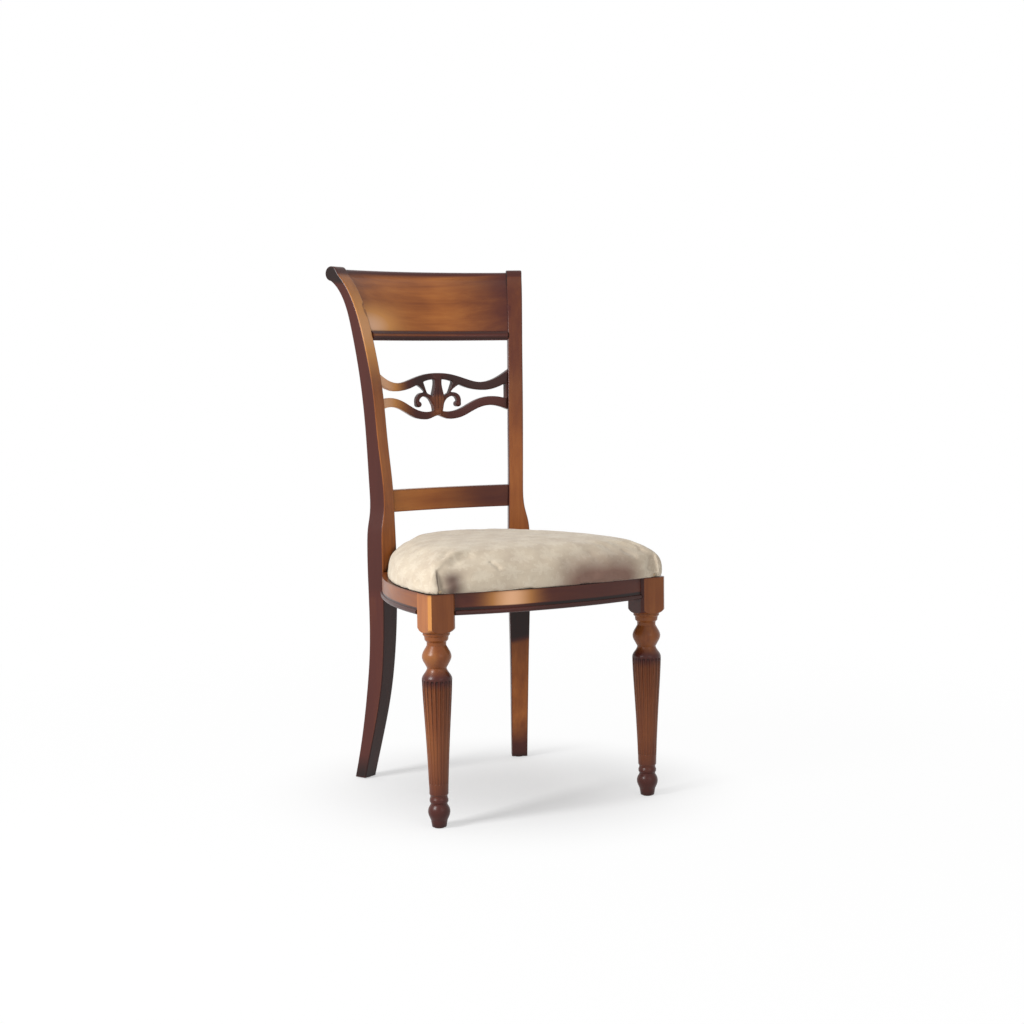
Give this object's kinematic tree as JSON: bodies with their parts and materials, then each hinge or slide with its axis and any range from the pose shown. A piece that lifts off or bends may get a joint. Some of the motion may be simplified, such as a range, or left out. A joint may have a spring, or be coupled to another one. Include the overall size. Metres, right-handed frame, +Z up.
{
  "type": "upholstered dining chair",
  "caption": "Upholstered dining chair with turned and fluted front legs, sabre rear legs, scrolled curved crest, carved openwork splat and a padded fabric seat.",
  "frame": {"origin": "middle of the chair's footprint box, on the floor", "axes": "+Z up, +Y towards the chair's back, +X to the right of someone facing the chair's front"},
  "size_m": [0.5106, 0.5899, 1.0374],
  "materials": {
    "varnished_wood": "satin varnish over cherry-stained beech",
    "raw_beech": "unvarnished",
    "plywood": "unvarnished",
    "zinc_steel": "zinc plated",
    "foam": "open-cell polyurethane foam",
    "wadding": "polyester wadding",
    "seat_fabric": "woven damask, cream on beige",
    "dust_cloth": "non-woven black cloth",
    "nylon": "moulded nylon"
  },
  "bodies": {
    "root": {"front_leg_left": "varnished_wood", "front_leg_right": "varnished_wood", "rear_post_left": "varnished_wood", "rear_post_right": "varnished_wood", "front_apron": "varnished_wood", "side_apron_left": "varnished_wood", "side_apron_right": "varnished_wood", "back_apron": "varnished_wood", "front_apron_bead": "varnished_wood", "side_apron_bead_left": "varnished_wood", "side_apron_bead_right": "varnished_wood", "crest_rail": "varnished_wood", "crest_bead": "varnished_wood", "carved_splat": "varnished_wood", "lower_back_rail": "varnished_wood", "corner_block_front_left": "raw_beech", "corner_block_front_right": "raw_beech", "corner_block_rear_left": "raw_beech", "corner_block_rear_right": "raw_beech", "rail_dowels": "raw_beech", "seat_board": "plywood", "corner_block_screws": "zinc_steel", "seat_fixing_screws": "zinc_steel", "cover_staples": "zinc_steel", "seat_foam": "foam", "seat_wadding": "wadding", "seat_cover": "seat_fabric", "dust_cover": "dust_cloth", "foot_glides": "nylon"}
  },
  "joints": []
}
